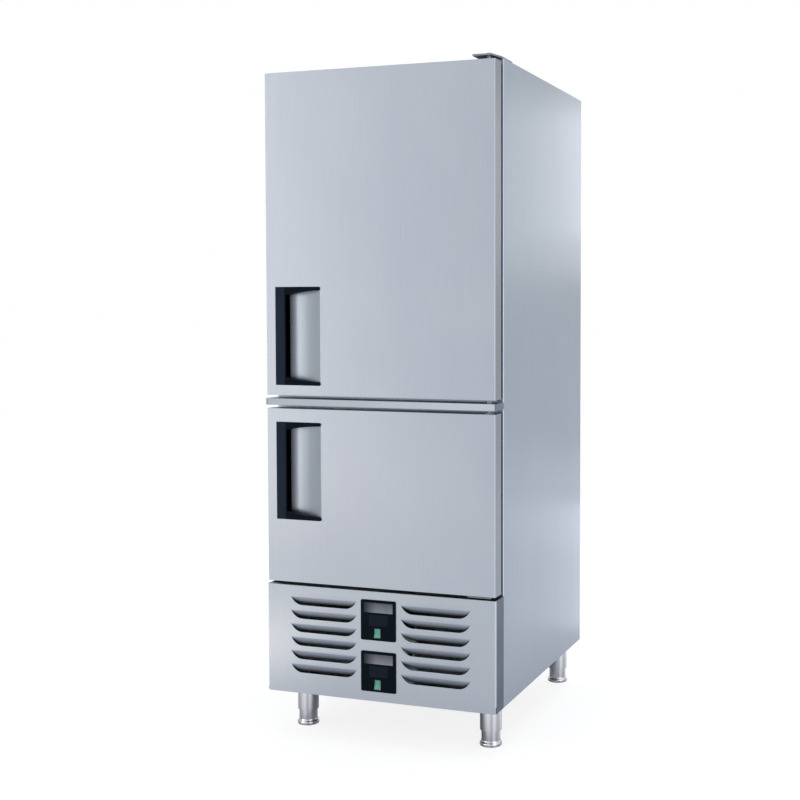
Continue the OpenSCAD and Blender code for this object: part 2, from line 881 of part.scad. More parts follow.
// Slotted channel for the runners, on one wall
module upright(z0, z1) {
    slot_pitch = 27.5;
    slots = floor((z1 - z0 - 40) / slot_pitch);
    t = 1.5;
    for (y = upright_y) translate([0, y, 0]) {
        from_side(runner_x, runner_x + t) difference() {
            translate([-upright_w / 2, z0]) square([upright_w, z1 - z0]);
            for (i = [0:slots]) translate([-5, z0 + 20 + i * slot_pitch]) square([10, 12]);
        }
        for (edge = [-upright_w / 2, upright_w / 2 - t])
            box([runner_x, upright_x], [edge, edge + t], [z0, z1]);
    }
}

module uprights() {
    margin = 20;
    color(steel) both_sides() {
        upright(up_room_z0 + margin, up_room_z1 - margin);
        upright(low_room_z0 + margin, low_room_z1 - margin);
    }
}

// Angle runners that carry the shelves
module runners() {
    y = [shelf_front_y + 10, shelf_front_y + shelf_depth - 10];
    color(steel) both_sides() for (z = concat(up_shelf_z, [low_shelf_z])) {
        box([runner_x - runner_t, runner_x], y, [z - runner_drop, z]);
        box([runner_x - runner_seat, runner_x], y, [z - runner_drop, z - runner_drop + runner_t]);
    }
}

// Wire shelf: a rod frame with round corners, two cross rods and a row of wires on top
module wire_shelf(z) {
    frame_r = rod_d / 2;
    corner = 20;
    half = shelf_half - runner_t - 1;
    wires = 21;
    rod_z = z - runner_drop + runner_t + seam + frame_r;
    x = half - frame_r - corner;
    y = [shelf_front_y + frame_r + corner, shelf_front_y + shelf_depth - frame_r - corner];
    color(steel) translate([0, 0, rod_z]) {
        for (s = [-1, 1]) translate([s * (x + corner), y[0], 0]) shaft(frame_r, 0, y[1] - y[0]);
        for (t = [y[0] - corner, y[1] + corner, (y[0] + y[1]) / 2 - 90, (y[0] + y[1]) / 2 + 90])
            translate([-x - (t < y[0] || t > y[1] ? 0 : corner), t, 0]) rotate([0, 90, 0])
                cylinder(r = frame_r, h = 2 * (x + (t < y[0] || t > y[1] ? 0 : corner)));
        for (s = [-1, 1], e = [0, 1]) translate([s * x, y[e], 0])
            rotate([0, 0, s > 0 ? (e > 0 ? 0 : -90) : (e > 0 ? 90 : 180)])
                rotate_extrude(angle = 90) translate([corner, 0]) circle(frame_r);
        for (i = [0:wires - 1])
            translate([-x + i * 2 * x / (wires - 1), y[0] - corner, frame_r + wire_d / 2 - 0.8])
                shaft(wire_d / 2, 0, y[1] - y[0] + 2 * corner);
    }
}

module shelf_low() {
    wire_shelf(low_shelf_z);
}

module shelf_one() {
    wire_shelf(up_shelf_z[0]);
}

module shelf_two() {
    wire_shelf(up_shelf_z[1]);
}

module shelf_three() {
    wire_shelf(up_shelf_z[2]);
}

// Cooling

cover_half = 270;
cover_h = 300;
cover_depth = 110;
cover_drop = 20;
evap_fan_r = 72;
evap_fan_drop = 100;
cover_tops = [up_room_z1 - sheet - cover_drop, low_room_z1 - sheet - cover_drop];
cover_back = room_y1 - sheet;

// Copies at the top of each compartment's evaporator cover, on its back wall
module at_evaporators() {
    for (z = cover_tops) translate([0, cover_back, z]) children();
}

// Sheet fins on a coil, side by side between two end plates
module fin_block(half, d, h, pitch) {
    fin_t = 0.8;
    count = floor(2 * half / pitch);
    linear_extrude(h) {
        for (i = [0:count]) translate([-half + i * pitch, 0]) square([fin_t, d]);
        for (y = [d / 3 - 1, 2 * d / 3 - 1]) translate([-half, y]) square([count * pitch + fin_t, 2]);
    }
}

// Return bends at one side of a coil, stacked one above the other
module return_bends(x, side, d, h) {
    bend = 11;
    tube_r = 4;
    for (z = [15:30:h - 20], y = [d / 3, 2 * d / 3]) translate([x, y, z + bend])
        rotate([90, 0, 0]) rotate([0, 0, side > 0 ? -90 : 90])
            rotate_extrude(angle = 180) translate([bend, 0]) circle(tube_r);
}

module evaporators() {
    half = 215;
    d = 66;
    h = 130;
    color(alu) at_evaporators() translate([0, -d - 8, -cover_h + 18]) {
        fin_block(half, d, h, 7);
        for (s = [-1, 1]) {
            box([s * (half + 2) - 1.5, s * (half + 2) + 1.5], [0, d + 8], [0, h]);
            return_bends(s * (half + 3), s, d, h);
        }
    }
}

// Folded cover over each evaporator, with a round guard in front of the fan
module evaporator_covers() {
    t = 1.2;
    guard_r = evap_fan_r + 6;
    color(steel) at_evaporators() {
        from_front(-cover_depth, -cover_depth + t) {
            difference() {
                translate([-cover_half, -cover_h]) square([2 * cover_half, cover_h]);
                translate([0, -evap_fan_drop]) circle(guard_r, $fn = 96);
                for (i = [-5:5], s = [-1, 1])
                    translate([i * 36 - 12, -cover_h + 30 + s * 8]) square([24, 6]);
            }
            translate([0, -evap_fan_drop]) {
                for (r = [18:14:guard_r]) difference() {
                    circle(r, $fn = 96);
                    circle(r - 2, $fn = 96);
                }
                for (a = [45, 135]) rotate(a) square([2 * guard_r + 2, 3], center = true);
            }
        }
        for (x = [-cover_half, cover_half - t]) box([x, x + t], [-cover_depth, 0], [-cover_h, 0]);
        box([-cover_half, cover_half], [-cover_depth, 0], [-t, 0]);
    }
}

// Axial fan with leaning blades, its axis along Y and its front at y = 0
fan_shaft_r = 3;
module axial_fan(r, d, blades) {
    hub_r = r * 0.24;
    difference() {
        union() {
            shaft(hub_r, 0, d);
            intersection() {
                difference() {
                    shaft(r, 0, d);
                    shaft(hub_r - 1, -1, d + 1);
                }
                for (i = [0:blades - 1]) rotate([0, i * 360 / blades, 0]) translate([0, d / 2, 0])
                    rotate([0, 0, 32]) translate([-r * 0.36, -0.8, 0]) cube([r * 0.72, 1.6, r + 5]);
            }
        }
        shaft(fan_shaft_r + pin_play, -1, d + 1);
    }
}

// Condensing units, one on each side

unit_x = 184;
cond_half = 102;
cond_y = front_y + 98;
cond_depth = 44;
cond_z = base_z + 8;
cond_h = 222;
shroud_depth = 50;
shroud_foot = 80;
cond_fan_r = 90;
cond_fan_d = 26;
fan_z = cond_z + cond_h / 2;
shroud_y = cond_y + cond_depth;
cond_fan_y = shroud_y + 22;
motor_r = 34;
comp_y = body_y + 328;
comp_r = 80;
comp_h = 190;
comp_z = base_z + 22;

// Copies for the left and the right condensing unit
module at_units() {
    for (x = [-unit_x, unit_x]) translate([x, 0, 0]) children();
}

module condensers() {
    color(alu) at_units() translate([0, cond_y, cond_z]) {
        fin_block(cond_half - 4, cond_depth, cond_h, 6);
        for (s = [-1, 1]) {
            box([s * (cond_half - 2) - 1.5, s * (cond_half - 2) + 1.5], [0, cond_depth], [0, cond_h]);
            return_bends(s * (cond_half - 1), s, cond_depth, cond_h);
        }
    }
}

// Sheet box behind each condenser, with a round mouth for the fan and arms for its motor
module fan_shrouds() {
    t = 1.2;
    y1 = shroud_y + shroud_depth;
    color(steel_dark) at_units() translate([0, 0, fan_z]) {
        difference() {
            box([-cond_half, cond_half], [shroud_y, y1], [-cond_h / 2, cond_h / 2]);
            box([-cond_half + t, cond_half - t], [shroud_y - 1, y1 - t], [-cond_h / 2 + t, cond_h / 2 - t]);
            shaft(cond_fan_r + 5, shroud_y, y1 + 1);
        }
        for (a = [0, 90]) rotate([0, a, 0]) difference() {
            box([-cond_fan_r - 14, cond_fan_r + 14], [y1, y1 + 3], [-8, 8]);
            shaft(fan_shaft_r + 2, y1 - 1, y1 + 4);
        }
        box([-shroud_foot, shroud_foot], [shroud_y, shroud_y + 20], [base_z + pan_t - fan_z, -cond_h / 2]);
    }
}

// Fan motors with their shafts, two behind the shrouds and two in the evaporator covers
module fan_motors() {
    y1 = shroud_y + shroud_depth;
    color(black) {
        at_units() translate([0, 0, fan_z]) {
            shaft(motor_r, y1 + 3, y1 + 60);
            shaft(fan_shaft_r, cond_fan_y, y1 + 4);
        }
        at_evaporators() translate([0, 0, -evap_fan_drop]) {
            shaft(26, -cover_depth + 34, -14);
            shaft(fan_shaft_r, -cover_depth + 6, -cover_depth + 35);
            box([-60, 60], [-14, 0], [-12, 12]);
        }
    }
}

module fan_left() {
    color(grey_plastic) translate([-unit_x, cond_fan_y, fan_z]) axial_fan(cond_fan_r, cond_fan_d, 5);
}

module fan_right() {
    color(grey_plastic) translate([unit_x, cond_fan_y, fan_z]) axial_fan(cond_fan_r, cond_fan_d, 5);
}

module evap_fan(z) {
    color(grey_plastic) translate([0, cover_back - cover_depth + 8, z - evap_fan_drop])
        axial_fan(evap_fan_r, 20, 5);
}

module fan_upper() {
    evap_fan(cover_tops[0]);
}

module fan_lower() {
    evap_fan(cover_tops[1]);
}

// Hermetic compressors: a pressed can on a base plate, with a cover over the terminals
module compressors() {
    foot_t = 3;
    color(black) at_units() translate([0, comp_y, comp_z]) {
        translate([0, 0, foot_t + 4]) rotate_extrude() intersection() {
            can_outline(comp_r, comp_h, 34);
            square([comp_r, comp_h]);
        }
        translate([0, 0, foot_t + 4 + comp_h / 2 - 3]) cylinder(r = comp_r + 4, h = 6);
        difference() {
            translate([-95, -75, 0]) cube([190, 150, foot_t]);
            for (x = [-84, 84], y = [-64, 64]) translate([x, y, -1]) cylinder(r = 5.2, h = foot_t + 2);
        }
        translate([0, 0, foot_t]) cylinder(r = 50, h = 12);
        translate([-28, comp_r - 12, 60]) cube([56, 26, 62]);
    }
}

// Rubber grommets under the compressors
module grommets() {
    color(rubber_grey) at_units() for (x = [-84, 84], y = [-64, 64])
        translate([x, comp_y + y, base_z + pan_t]) {
            cylinder(r = 11, h = comp_z - base_z - pan_t);
            cylinder(r = 5, h = comp_z - base_z - pan_t + 6);
        }
}

// Copper pipes of each unit: hot gas to the condenser, liquid through the drier, suction back
module pipework() {
    r = 4;
    can_top = comp_z + 7 + comp_h;
    drier_z = deck_z - 60;
    color(copper) at_units() {
        pipe_run([[40, comp_y, can_top], [40, comp_y, can_top + 18], [40, cond_y + 22, can_top + 18],
            [40, cond_y + 22, cond_z + cond_h]], r);
        pipe_run([[-70, cond_y + 22, cond_z + cond_h], [-70, cond_y + 22, drier_z],
            [-70, comp_y - 40, drier_z]], r);
        translate([-70, comp_y - 40, drier_z]) {
            shaft(13, -1, 90);
            shaft(r, 89, 200);
        }
        pipe_run([[-70, comp_y + 159, drier_z], [-70, comp_y + 240, drier_z],
            [-70, comp_y + 240, deck_z]], r);
        pipe_run([[-36, comp_y, can_top], [-36, comp_y, can_top + 55], [-36, comp_y + 250, can_top + 55],
            [-36, comp_y + 250, deck_z]], r * 1.25);
    }
}

// Terminal box on the back, with the gland where the mains cable enters
gland_r = 9;
gland_z = base_z + 230;
module terminal_box() {
    y1 = grille_y;
    color(grey_plastic) translate([0, 0, gland_z]) {
        box([-60, 60], [y1 - 70, y1 - seam], [-40, 40]);
        difference() {
            union() {
                shaft(gland_r, y1 - 1, y1 + 16);
                translate([0, y1 + 3, 0]) rotate([-90, 0, 0]) cylinder(r = gland_r + 3, h = 6, $fn = 6);
            }
            shaft(5, y1 - 40, y1 + 20);
        }
    }
}

// Drip tray
tray_half = 150;
tray_slack = 3;
tray_h = 32;
tray_y0 = back_y - 225;
tray_z = base_z + pan_t + 0.5;

// Vented sheet that closes the machine compartment at the back
module rear_grille() {
    edge = half_w - sheet - seam;
    color(steel_dark) from_front(grille_y, grille_y + panel_t) difference() {
        translate([-edge, base_z]) square([2 * edge, deck_z - base_z - seam]);
        for (x = [-1, 1], row = [0:9]) translate([x * 210, base_z + 90 + row * 22]) round_rect(220, 8, 3.9);
        translate([0, gland_z]) circle(gland_r + 4);
        translate([-tray_half - tray_slack, tray_z - 2]) square([2 * (tray_half + tray_slack), tray_h + 4]);
    }
}

// Shallow tray where defrost water dries off, drawn out at the back by its lip
module drip_tray() {
    t = 2;
    y1 = back_y - 14;
    color(grey_plastic) {
        difference() {
            box([-tray_half, tray_half], [tray_y0, y1], [tray_z, tray_z + tray_h]);
            box([-tray_half + t, tray_half - t], [tray_y0 + t, y1 - t], [tray_z + t, tray_z + tray_h + 1]);
        }
        box([-40, 40], [y1 - 1, y1 + 12], [tray_z + tray_h - 8, tray_z + tray_h - 4]);
    }
}

side_skins();
top_skin();
back_panel();
front_frame();
insulation();
upper_liner();
lower_liner();
deck_plate();
base_frame();
leg_sleeves();
mid_rail();
side_cheeks();
hinge_plates();
uprights();
runners();
evaporators();
evaporator_covers();
fan_motors();
compressors();
grommets();
condensers();
fan_shrouds();
pipework();
terminal_box();
rear_grille();
foot_front_left();
foot_front_right();
foot_rear_left();
foot_rear_right();
shelf_low();
shelf_one();
shelf_two();
shelf_three();
fan_left();
fan_right();
fan_upper();
fan_lower();
drip_tray();
upper_door_skin();
upper_door_core();
upper_door_liner();
upper_gasket();
upper_handle_cup();
upper_handle_grip();
upper_bushes();
lower_door_skin();
lower_door_core();
lower_door_liner();
lower_gasket();
lower_handle_cup();
lower_handle_grip();
lower_bushes();
front_panel();
control_bezels();
display_windows();
label_strips();
rocker_upper();
rocker_lower();
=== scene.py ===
"""Looks of the two-door upright refrigerator: finishes, small fasteners, studio and camera."""
import json
import math

import bpy
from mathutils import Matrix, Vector


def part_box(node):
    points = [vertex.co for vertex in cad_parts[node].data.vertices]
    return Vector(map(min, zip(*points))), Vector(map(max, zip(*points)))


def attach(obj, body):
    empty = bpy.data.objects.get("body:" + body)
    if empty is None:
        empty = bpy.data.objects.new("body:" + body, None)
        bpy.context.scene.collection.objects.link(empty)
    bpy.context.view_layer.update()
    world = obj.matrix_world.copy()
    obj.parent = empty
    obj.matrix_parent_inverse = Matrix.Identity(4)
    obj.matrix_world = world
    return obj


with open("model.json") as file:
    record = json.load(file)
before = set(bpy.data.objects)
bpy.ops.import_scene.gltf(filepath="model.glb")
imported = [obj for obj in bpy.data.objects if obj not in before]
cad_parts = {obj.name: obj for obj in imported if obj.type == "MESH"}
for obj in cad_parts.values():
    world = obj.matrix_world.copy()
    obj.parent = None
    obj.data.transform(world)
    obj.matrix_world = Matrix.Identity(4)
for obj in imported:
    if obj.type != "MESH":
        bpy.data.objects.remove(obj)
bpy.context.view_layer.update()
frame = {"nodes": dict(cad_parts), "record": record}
scene = bpy.context.scene
nodes = frame["nodes"]
slot_of = {part["node"]: part["material_slot"] for part in frame["record"]["subparts"]}

# Camera at the photograph's angle
camera_data = bpy.data.cameras.new("camera")
camera_data.lens = 57.46
camera_data.sensor_width = 36
camera_data.shift_x = -0.125
camera_data.shift_y = -0.04375
camera_data.clip_end = 100
camera = bpy.data.objects.new("camera", camera_data)
camera.location = (1.603, -3.911, 1.338)
camera.rotation_euler = (math.radians(87.27), 0, math.radians(19.34))
scene.collection.objects.link(camera)
scene.camera = camera
scene.view_settings.view_transform = "Standard"


# Node helpers

def linear(red, green, blue):
    """A colour written in display values from 0 to 255, as linear light."""
    out = []
    for value in (red, green, blue):
        share = value / 255
        out.append(share / 12.92 if share <= 0.04045 else ((share + 0.055) / 1.055) ** 2.4)
    return (*out, 1)


def feed(tree, socket, value):
    """Link another node's output to the socket, or set the socket to a plain value."""
    if isinstance(value, bpy.types.NodeSocket):
        tree.links.new(value, socket)
    else:
        socket.default_value = value


def reckoned(tree, operation, first, second=0.0):
    """What a maths node gives for one or two values."""
    node = tree.nodes.new("ShaderNodeMath")
    node.operation = operation
    feed(tree, node.inputs[0], first)
    feed(tree, node.inputs[1], second)
    return node.outputs[0]


class Shader:
    """A material's node tree, with short calls for the nodes used here."""

    def __init__(self, name):
        self.material = bpy.data.materials.new(name)
        self.material.use_nodes = True
        self.tree = self.material.node_tree
        self.tree.nodes.clear()
        out = self.tree.nodes.new("ShaderNodeOutputMaterial")
        self.main = self.tree.nodes.new("ShaderNodeBsdfPrincipled")
        self.tree.links.new(self.main.outputs[0], out.inputs["Surface"])
        coordinates = self.tree.nodes.new("ShaderNodeTexCoord")
        self.place = coordinates.outputs["Object"]
        self.normal = coordinates.outputs["Normal"]

    def set(self, **values):
        for name, value in values.items():
            self.main.inputs[name.replace("_", " ")].default_value = value

    def link(self, source, socket):
        self.tree.links.new(source, self.main.inputs[socket])

    def component(self, source, letter):
        """One component of a vector."""
        node = self.tree.nodes.new("ShaderNodeSeparateXYZ")
        self.tree.links.new(source, node.inputs[0])
        return node.outputs[letter]

    def axis(self, letter):
        """One coordinate in the object's own space, in metres."""
        return self.component(self.place, letter)

    def facing(self, letter):
        """How far a face points along an axis of the object, from -1 to 1."""
        return self.component(self.normal, letter)

    def stretched(self, scale):
        """Places in the object's own space, multiplied by a scale along each axis."""
        node = self.tree.nodes.new("ShaderNodeMapping")
        node.inputs["Scale"].default_value = scale
        self.tree.links.new(self.place, node.inputs["Vector"])
        return node.outputs[0]

    def noise(self, scale, detail=2.0, roughness=0.5):
        """Noise in real metres: scale is waves per metre along X, Y and Z."""
        node = self.tree.nodes.new("ShaderNodeTexNoise")
        node.inputs["Scale"].default_value = 1.0
        node.inputs["Detail"].default_value = detail
        node.inputs["Roughness"].default_value = roughness
        self.tree.links.new(self.stretched(scale), node.inputs["Vector"])
        return node.outputs["Fac"]

    def cells(self, scale, output="Distance"):
        """Cells in real metres: scale is cells per metre along X, Y and Z."""
        node = self.tree.nodes.new("ShaderNodeTexVoronoi")
        node.inputs["Scale"].default_value = 1.0
        self.tree.links.new(self.stretched(scale), node.inputs["Vector"])
        return node.outputs[output]

    def spread(self, source, low, high, start=0.3, end=0.7):
        """The source, from start to end, spread over low to high."""
        node = self.tree.nodes.new("ShaderNodeMapRange")
        node.inputs["From Min"].default_value = start
        node.inputs["From Max"].default_value = end
        node.inputs["To Min"].default_value = low
        node.inputs["To Max"].default_value = high
        self.tree.links.new(source, node.inputs["Value"])
        return node.outputs[0]

    def mix(self, factor, first, second, blend="MIX"):
        node = self.tree.nodes.new("ShaderNodeMix")
        node.data_type = "RGBA"
        node.blend_type = blend
        for number, value in ((0, factor), (6, first), (7, second)):
            feed(self.tree, node.inputs[number], value)
        return node.outputs[2]

    def math(self, operation, first, second=0.0):
        return reckoned(self.tree, operation, first, second)

    def times(self, colour, tone, blue=1.0):
        """The colour times a tone, with a little more or less blue."""
        return self.mix(1.0, colour, (tone, tone, tone * blue, 1), "MULTIPLY")

    def toned(self, colour, source, stops):
        """The colour made darker or lighter along a source.
        Stops are pairs of the source's value and the tone there."""
        start, end = stops[0][0], stops[-1][0]
        ramp = self.tree.nodes.new("ShaderNodeValToRGB")
        elements = ramp.color_ramp.elements
        elements[0].color = (*[stops[0][1]] * 3, 1)
        elements[1].color = (*[stops[-1][1]] * 3, 1)
        for place, tone in stops[1:-1]:
            elements.new((place - start) / (end - start)).color = (tone, tone, tone, 1)
        self.tree.links.new(self.spread(source, 0, 1, start, end), ramp.inputs["Fac"])
        return self.mix(1.0, colour, ramp.outputs["Color"], "MULTIPLY")

    def relief(self, height, strength, depth, edge=None):
        """Bump from a height, over edges rounded by a small radius where edge is given."""
        node = self.tree.nodes.new("ShaderNodeBump")
        node.inputs["Strength"].default_value = strength
        node.inputs["Distance"].default_value = depth
        self.tree.links.new(height, node.inputs["Height"])
        if edge:
            soft = self.tree.nodes.new("ShaderNodeBevel")
            soft.samples = 6
            soft.inputs["Radius"].default_value = edge
            self.tree.links.new(soft.outputs[0], node.inputs["Normal"])
        self.link(node.outputs[0], "Normal")


# Where the finishes and the painted light and shade change, in the object's own space

PANEL_FACE = -0.448
# From just behind the panel's face it is painted darker towards the inside, as shade, but not on its sides
# that fold back
SHADE_FROM = PANEL_FACE + 0.0006
SHADE_SIDES = (0.360, 0.364)

# Louvres: middle and half width of a column, rows, bend line of the top row, step from row to row,
# drop from a bend line to the slot under it, and depth of a blade's lower edge, where the painted shade in
# its slot is darkest
LOUVRE_X = 0.184
LOUVRE_HALF = 0.1105
LOUVRE_ROWS = 6
LOUVRE_TOP = 0.441
LOUVRE_PITCH = 0.042
LOUVRE_OPEN = 0.027
LOUVRE_DEEP = -0.4358
MOUTH_SHADE_FADE = 0.004
# The painted shade over a blade starts this far under the slot above it, and fades out between these two
# distances from the louvre's ends
DIP_START = 0.003
DIP_END_FADES = (0.034, 0.004)

# Right edge of the grip's bar, with a short fade, and the depths from its front to its pocket, over which
# painted shade deepens
GRIP_BAR_EDGE = (-0.311, -0.307)
GRIP_DEPTHS = (-0.4488, -0.442)

# Lower edge of the lower label strip, the step to the upper one, and where its tones run
LABEL_LOW = 0.2542
BEZEL_STEP = 0.1565
LABEL_ACROSS = (-0.044, -0.008)
LABEL_UP = (0.002, 0.028)

# Stops of tone: painted reflections on the scoop, rail and legs, painted light on the cheeks; scoop and rail
# by object X, legs by the X of the face's direction, cheeks by object Z
SCOOP_REFLECTION_TONES = ((-0.310, 1.15), (-0.290, 1.40), (-0.282, 1.66), (-0.272, 1.28), (-0.262, 1.00),
               (-0.250, 0.91), (-0.238, 0.85), (-0.220, 0.93), (-0.200, 1.07), (-0.190, 1.30))
LEG_REFLECTION_TONES = ((-1.0, 0.9), (-0.65, 0.62), (-0.35, 0.74), (-0.1, 1.15), (0.12, 1.35), (0.30, 1.05),
             (0.42, 0.80), (0.56, 1.35), (0.70, 1.2), (0.82, 0.8), (0.92, 0.8), (1.0, 1.4))
CHEEK_LIGHT_TONES = ((0.6, 1.0), (1.1, 1.6))
RAIL_REFLECTION_TONES = ((-0.37, 0.80), (-0.29, 0.88), (-0.04, 1.0), (0.24, 1.26), (0.37, 1.28))


# Finishes

def shades(colour, change):
    """A darker and a lighter shade of a linear colour."""
    dark = tuple(c * (1 - change) for c in colour[:3]) + (1,)
    light = tuple(min(1, c * (1 + change)) for c in colour[:3]) + (1,)
    return dark, light


def shaded_inside(s, base, inner, left):
    """The colour, down to a tone at an object Y inside the panel: painted shade in its pressed recesses."""
    inner_shade = s.spread(s.axis("Y"), 0, 1, SHADE_FROM, inner)
    between_sides = s.spread(s.math("ABSOLUTE", s.axis("X")), 1, 0, *SHADE_SIDES)
    return s.mix(s.math("MULTIPLY", inner_shade, between_sides), base, s.times(base, left, 1.03))


def louvre_shaded(s, base, left):
    """The colour, down to a tone of painted shade where the sheet dips towards a louvre, and a painted
    near-black shade in the slot.
    """
    # A whole number of steps above every louvre, so that the remainder is of a number above 0
    steps_above = 3
    start = LOUVRE_TOP + steps_above * LOUVRE_PITCH
    below = s.math("MODULO", s.math("SUBTRACT", start, s.axis("Z")), LOUVRE_PITCH)
    on_blade = s.math("LESS_THAN", below, LOUVRE_OPEN)
    above_blade = s.spread(below, 0, 1, LOUVRE_OPEN + DIP_START, LOUVRE_PITCH)
    from_middle = s.math("ABSOLUTE", s.math("SUBTRACT", s.math("ABSOLUTE", s.axis("X")), LOUVRE_X))
    area = s.spread(from_middle, 1, 0, LOUVRE_HALF - DIP_END_FADES[0], LOUVRE_HALF - DIP_END_FADES[1])
    lowest = LOUVRE_TOP - (LOUVRE_ROWS - 1) * LOUVRE_PITCH - LOUVRE_OPEN
    highest = LOUVRE_TOP + LOUVRE_PITCH - LOUVRE_OPEN
    area = s.math("MULTIPLY", area, s.math("GREATER_THAN", s.axis("Z"), lowest))
    area = s.math("MULTIPLY", area, s.math("LESS_THAN", s.axis("Z"), highest))
    dip_shade = s.math("MULTIPLY", s.math("MAXIMUM", on_blade, above_blade), area)
    mouth_shade = s.spread(s.axis("Y"), 0, 1, LOUVRE_DEEP - MOUTH_SHADE_FADE, LOUVRE_DEEP)
    return s.mix(mouth_shade, s.mix(dip_shade, base, s.times(base, left, 1.02)), linear(5, 7, 13))


def painted_fold_light(s, base, side, rounding):
    """The colour, with one tone of painted shade for sides that face left or right and one of painted
    highlight for the rounding before them.
    """
    # 0 on a face that turns neither left nor right, and 1 on one that points straight to a side
    turned = s.math("ABSOLUTE", s.facing("X"))
    on_side = s.spread(turned, 0, 1, 0.90, 0.99)
    on_rounding = s.math("MULTIPLY", s.spread(turned, 0, 1, 0.10, 0.30), s.spread(turned, 1, 0, 0.88, 0.97))
    for tone, mask in ((side, on_side), (rounding, on_rounding)):
        base = s.mix(mask, base, s.times(base, tone, 1.01))
    return base


def brushed(name, colour, roughness, grain="Z", change=0.05, anisotropy=0.45, edge=0.0008, clouds=0.03,
            depth=None, fold_light_tones=None, louvres=None, across=None, around=None):
    """Brushed stainless steel: fine streaks along the grain, faint large clouds, and soft edges.
    The rest is for single pieces, and paints shade and highlights: depth is an object Y and a tone of painted
    shade inside the panel, louvres a tone of painted shade at its louvres, and the fold tones a painted shade
    for sides and a painted highlight for roundings. Across and around are stops of painted reflection, by
    object X and by the X of the face's direction."""
    s = Shader(name)
    fine = {"X": (6, 900, 900), "Y": (900, 6, 900), "Z": (900, 900, 6)}[grain]
    coarse = {"X": (2, 220, 220), "Y": (220, 2, 220), "Z": (220, 220, 2)}[grain]
    streaks = s.noise(fine, detail=3, roughness=0.6)
    bands = s.noise(coarse, detail=2)
    cloud = s.noise((2.2, 2.2, 1.6), detail=3, roughness=0.55)
    dark, light = shades(colour, change)
    base = s.mix(s.spread(streaks, 0, 1), dark, light)
    low, high = 1 - clouds, 1 + clouds
    tone = s.spread(cloud, low, high)
    tint = s.mix(s.spread(cloud, 0, 1, 0.35, 0.65), (low, low, low * 1.012, 1), (high, high, high * 0.996, 1))
    base = s.mix(1.0, base, tint, "MULTIPLY")
    if depth:
        base = shaded_inside(s, base, *depth)
    if louvres:
        base = louvre_shaded(s, base, louvres)
    # Painted reflections, by object X and by the face's direction
    if across:
        base = s.toned(base, s.axis("X"), across)
    if around:
        base = s.toned(base, s.facing("X"), around)
    if fold_light_tones:
        base = painted_fold_light(s, base, *fold_light_tones)
    s.link(base, "Base Color")
    s.link(s.math("MULTIPLY", s.spread(bands, roughness * 0.95, roughness * 1.05), tone), "Roughness")
    s.set(Metallic=1.0, Anisotropic=anisotropy)
    if anisotropy:
        tangent = s.tree.nodes.new("ShaderNodeTangent")
        tangent.direction_type = "RADIAL"
        tangent.axis = "Z"
        s.link(tangent.outputs[0], "Tangent")
    s.relief(streaks, 0.04, 0.0002, edge)
    return s.material


def galvanised(name, colour, roughness):
    """Zinc-coated sheet with its patchy crystals."""
    s = Shader(name)
    crystals = s.cells((70, 70, 70), "Color")
    grey = s.tree.nodes.new("ShaderNodeRGBToBW")
    s.tree.links.new(crystals, grey.inputs[0])
    dark, light = shades(colour, 0.10)
    s.link(s.mix(s.spread(grey.outputs[0], 0, 1, 0.2, 0.8), dark, light), "Base Color")
    s.link(s.spread(grey.outputs[0], roughness - 0.06, roughness + 0.08, 0.2, 0.8), "Roughness")
    s.set(Metallic=1.0)
    s.relief(s.noise((400, 400, 400)), 0.03, 0.0002, 0.0006)
    return s.material


def moulded(name, colour, roughness, change=0.10, coat=0.0, edge=0.0008, specular=0.35, upward=None):
    """Moulded plastic, rubber or paint: a fine grain and slightly uneven colour and gloss.
    With upward, stops of painted light by object Z."""
    s = Shader(name)
    fine = s.noise((900, 900, 900), detail=3, roughness=0.6)
    wide = s.noise((9, 9, 9), detail=3)
    dark, light = shades(colour, change)
    base = s.mix(s.spread(wide, 0, 1), dark, light)
    if upward:
        base = s.toned(base, s.axis("Z"), upward)
    s.link(base, "Base Color")
    s.link(s.spread(fine, roughness - 0.05, roughness + 0.06), "Roughness")
    s.set(Specular_IOR_Level=specular, Coat_Weight=coat, Coat_Roughness=0.08)
    s.relief(fine, 0.25, 0.00012, edge)
    return s.material


def finned(name, colour):
    """Rolled aluminium fins with light scratches and oxide."""
    s = Shader(name)
    scratches = s.noise((900, 60, 900), detail=3)
    oxide = s.noise((18, 18, 18), detail=4)
    dark, light = shades(colour, 0.12)
    s.link(s.mix(s.spread(oxide, 0, 1), dark, light), "Base Color")
    s.link(s.spread(scratches, 0.34, 0.48), "Roughness")
    s.set(Metallic=1.0)
    s.relief(scratches, 0.05, 0.0001)
    return s.material


def foam(name, colour):
    """Rigid foam with open cells on its cut faces."""
    s = Shader(name)
    bubbles = s.cells((500, 500, 500))
    wide = s.noise((12, 12, 12), detail=4)
    dark, light = shades(colour, 0.08)
    s.link(s.mix(s.spread(wide, 0, 1), dark, light), "Base Color")
    s.set(Roughness=0.9)
    s.relief(bubbles, 0.3, 0.0006)
    return s.material


def grip_with_painted_light(name, front, ends, inside):
    """Black moulding, with painted light and shade: the bar's front is paler than the end pieces, which are
    painted as shaded, and the pocket is painted darkest as shade.
    """
    s = Shader(name)
    fine = s.noise((1400, 1400, 1400), detail=3, roughness=0.6)
    rubbed = s.noise((24, 24, 9), detail=4, roughness=0.6)
    # Painted light: the bar's front paler, the end pieces darker as shaded
    bar_x = s.spread(s.axis("X"), 1, 0, *GRIP_BAR_EDGE)
    # Painted shade: near black deeper in the pocket
    near_face = s.spread(s.axis("Y"), 1, 0, *GRIP_DEPTHS)
    dark, light = shades(front, 0.12)
    face = s.mix(bar_x, ends, s.mix(s.spread(rubbed, 0, 1), dark, light))
    s.link(s.mix(near_face, inside, face), "Base Color")
    s.link(s.spread(fine, 0.40, 0.50), "Roughness")
    s.set(Specular_IOR_Level=0.05)
    s.relief(fine, 0.2, 0.0001, 0.0008)
    return s.material


